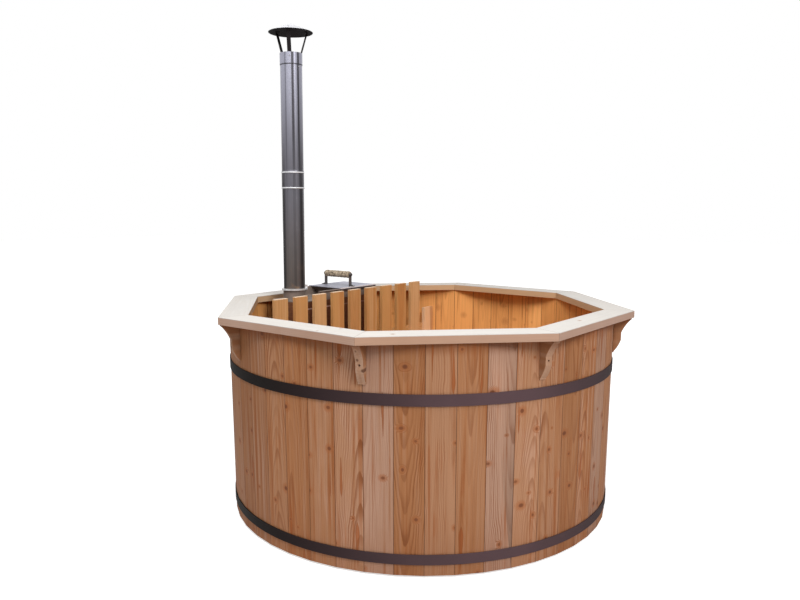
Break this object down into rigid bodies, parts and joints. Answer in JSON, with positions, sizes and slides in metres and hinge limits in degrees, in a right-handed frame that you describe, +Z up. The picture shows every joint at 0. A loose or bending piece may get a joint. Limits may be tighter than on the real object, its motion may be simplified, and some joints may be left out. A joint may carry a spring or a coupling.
{
  "type": "wooden hot tub",
  "caption": "Round staved hot tub with hoops, an octagonal rim on brackets, inner benches, and a wood stove with a capped flue behind a slatted fence.",
  "frame": {"origin": "centre of the round tub, on the ground under the middle bearer", "axes": "+Z up, +Y from the tub's centre towards the stove behind the fence, +X along the stove from its flue end to its lid end"},
  "size_m": [2.1458, 2.026, 2.528],
  "materials": {
    "stave_wood": "oiled softwood boards with knots",
    "inner_wood": "bare softwood",
    "fence_wood": "bare softwood",
    "rim_wood": "pale planed softwood",
    "hoop_paint": "dark satin paint",
    "zinc": "dull zinc plate",
    "stove_steel": "heat-darkened plate",
    "grate_iron": "rough casting",
    "lid_steel": "worn sheet",
    "handle_steel": "dull plate",
    "grip_wood": "turned and mottled",
    "clamp_steel": "bright band",
    "flue_steel": "heat-tinted sheet",
    "cap_steel": "sooty sheet",
    "brass": "cast and turned",
    "rubber": "matte",
    "valve_chrome": "plated",
    "lever_paint": "gloss paint"
  },
  "bodies": {
    "tub": {"staves_a": "stave_wood", "staves_b": "stave_wood", "floor_boards_a": "inner_wood", "floor_boards_b": "inner_wood", "floor_bearers": "inner_wood", "rim_dowels": "inner_wood", "bench_seat_1": "inner_wood", "bench_seat_2": "inner_wood", "bench_seat_3": "inner_wood", "bench_seat_4": "inner_wood", "bench_seat_5": "inner_wood", "bench_arms": "inner_wood", "bench_legs": "inner_wood", "fence_slats": "fence_wood", "fence_short_slats": "fence_wood", "fence_rails": "fence_wood", "rim_board_1": "rim_wood", "rim_board_2": "rim_wood", "rim_board_3": "rim_wood", "rim_board_4": "rim_wood", "rim_board_5": "rim_wood", "rim_board_6": "rim_wood", "rim_board_7": "rim_wood", "rim_board_8": "rim_wood", "rim_brackets": "rim_wood", "upper_hoop": "hoop_paint", "lower_hoop": "hoop_paint", "hoop_bolts": "zinc", "hoop_nuts": "zinc", "bracket_screws": "zinc", "bench_screws": "zinc", "fence_screws": "zinc", "stove_leg_screws": "zinc", "flue_rivets": "zinc", "stove_body": "stove_steel", "stove_top_plate": "stove_steel", "stove_legs": "stove_steel", "smoke_baffle": "stove_steel", "hatch_frame": "stove_steel", "flue_spigot": "stove_steel", "fire_grate": "grate_iron", "flue_clamp": "clamp_steel", "lower_flue_pipe": "flue_steel", "upper_flue_pipe": "flue_steel", "cap_collar": "flue_steel", "cap_legs": "cap_steel", "rain_cap": "cap_steel", "drain_nipple": "brass", "drain_nut": "brass", "valve_body": "brass", "hose_tail": "brass", "drain_gasket": "rubber"},
    "lid": {"stove_lid": "lid_steel", "handle_brackets": "handle_steel", "handle_rod": "handle_steel", "handle_grip": "grip_wood", "handle_fasteners": "zinc"},
    "drain_valve": {"valve_ball": "valve_chrome", "valve_lever": "lever_paint", "lever_nut": "valve_chrome"}
  },
  "joints": [
    {"name": "lid_slide", "type": "slide", "parent": "tub", "child": "lid", "axis": [-1, 0, 0], "range_m": [0, 0.165]},
    {"name": "drain_lever_turn", "type": "hinge", "parent": "tub", "child": "drain_valve", "pos_m": [1.03996, 0.06816, 0.16315], "axis": [-0.0149, -0.001, -0.9999], "range_deg": [0, 90]}
  ]
}
